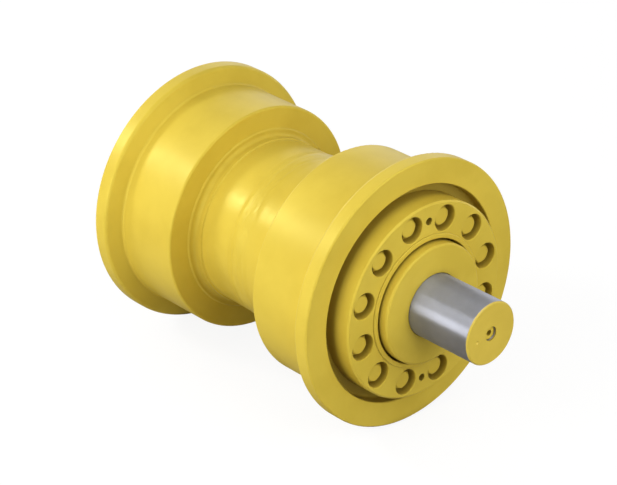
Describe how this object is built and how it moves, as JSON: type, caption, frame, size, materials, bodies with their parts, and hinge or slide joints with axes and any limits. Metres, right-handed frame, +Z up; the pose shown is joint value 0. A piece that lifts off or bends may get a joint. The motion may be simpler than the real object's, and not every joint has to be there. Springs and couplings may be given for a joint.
{
  "type": "track roller",
  "caption": "Double-flange track roller with two treads, bolted end covers and a fixed shaft with bare stub ends.",
  "frame": {"origin": "centre of the roller, on the axis of the shaft", "axes": "+Y along the shaft, out of the rear end; +Z up; +X to the right seen from the front end at -Y"},
  "size_m": [0.3, 0.569, 0.3],
  "materials": {
    "yellow_paint": "semi-gloss machine enamel",
    "machined_steel": "turned and ground, bare",
    "hardened_steel": "ground, bare",
    "seal_iron": "lapped faces, bare",
    "bronze": "machined bearing bronze",
    "seal_rubber": "matt moulded rubber"
  },
  "bodies": {
    "fixed_shaft": {"shaft": "machined_steel", "oil_plug": "yellow_paint", "front_collar": "yellow_paint", "front_collar_dowel": "hardened_steel", "front_fixed_seal_ring": "seal_iron", "front_fixed_toric": "seal_rubber", "front_collar_o_ring": "seal_rubber", "rear_collar": "yellow_paint", "rear_collar_dowel": "hardened_steel", "rear_fixed_seal_ring": "seal_iron", "rear_fixed_toric": "seal_rubber", "rear_collar_o_ring": "seal_rubber"},
    "turning_roller": {"roller_shell": "yellow_paint", "front_end_cover": "yellow_paint", "front_cover_bolts": "yellow_paint", "front_bushing": "bronze", "front_turning_seal_ring": "seal_iron", "front_turning_toric": "seal_rubber", "front_cover_o_ring": "seal_rubber", "rear_end_cover": "yellow_paint", "rear_cover_bolts": "yellow_paint", "rear_bushing": "bronze", "rear_turning_seal_ring": "seal_iron", "rear_turning_toric": "seal_rubber", "rear_cover_o_ring": "seal_rubber"}
  },
  "joints": [
    {"name": "roller_spin", "type": "hinge", "parent": "fixed_shaft", "child": "turning_roller", "pos_m": [0, 0, 0], "axis": [0, 1, 0], "continuous": true}
  ]
}
